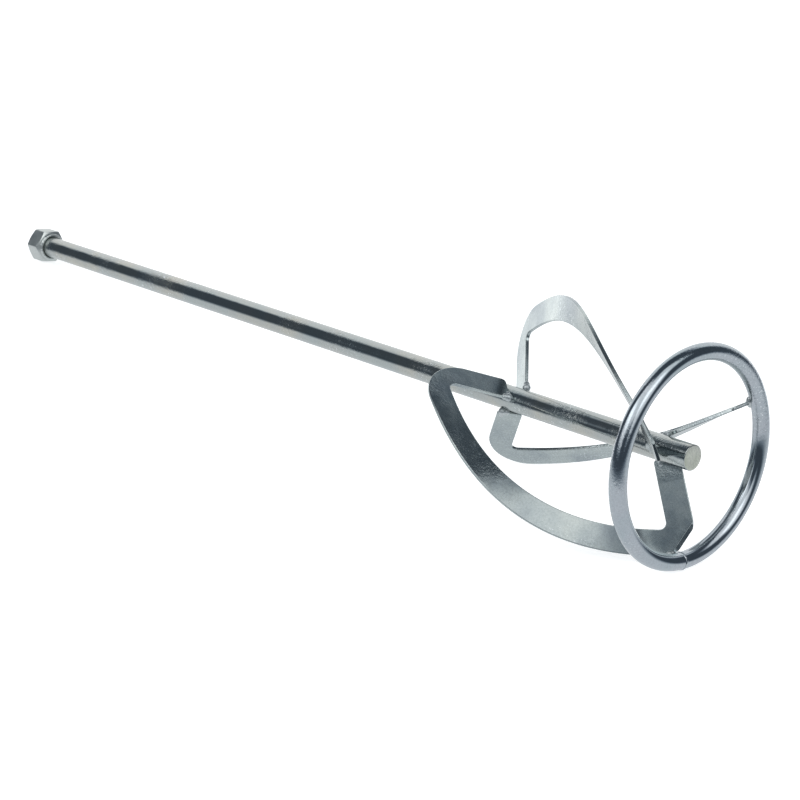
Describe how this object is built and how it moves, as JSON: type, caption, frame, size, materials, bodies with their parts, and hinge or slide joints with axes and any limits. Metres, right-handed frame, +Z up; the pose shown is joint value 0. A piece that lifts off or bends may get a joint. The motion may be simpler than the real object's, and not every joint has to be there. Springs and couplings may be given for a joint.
{
  "type": "mortar mixing paddle",
  "caption": "Steel stirring paddle for mortar: a shaft with a threaded hexagon coupling, twisted C-shaped blades and a wire end ring.",
  "frame": {"origin": "centre of the footprint, on the floor the tool lies on", "axes": "+X runs from the threaded coupling's end towards the ring's end, +Z up from the floor, +Y across the ring"},
  "size_m": [0.6033, 0.1272, 0.1216],
  "materials": {
    "plated_bar": "bright zinc plating, semi-gloss",
    "plated_nut": "bright zinc plating, semi-gloss",
    "plated_sheet": "zinc plating, satin with a faint green and purple tint",
    "weld": "plated weld metal, lumpy and shiny"
  },
  "bodies": {
    "root": {"shaft": "plated_bar", "coupling_nut": "plated_nut", "coupling_weld": "weld", "ring": "plated_bar", "ring_seam_weld": "weld", "blade_1": "plated_sheet", "blade_2": "plated_sheet", "blade_3": "plated_sheet", "shoulder_weld_1": "weld", "shoulder_weld_2": "weld", "shoulder_weld_3": "weld", "heel_weld_1": "weld", "heel_weld_2": "weld", "heel_weld_3": "weld", "ring_weld_1": "weld", "ring_weld_2": "weld", "ring_weld_3": "weld"}
  },
  "joints": []
}
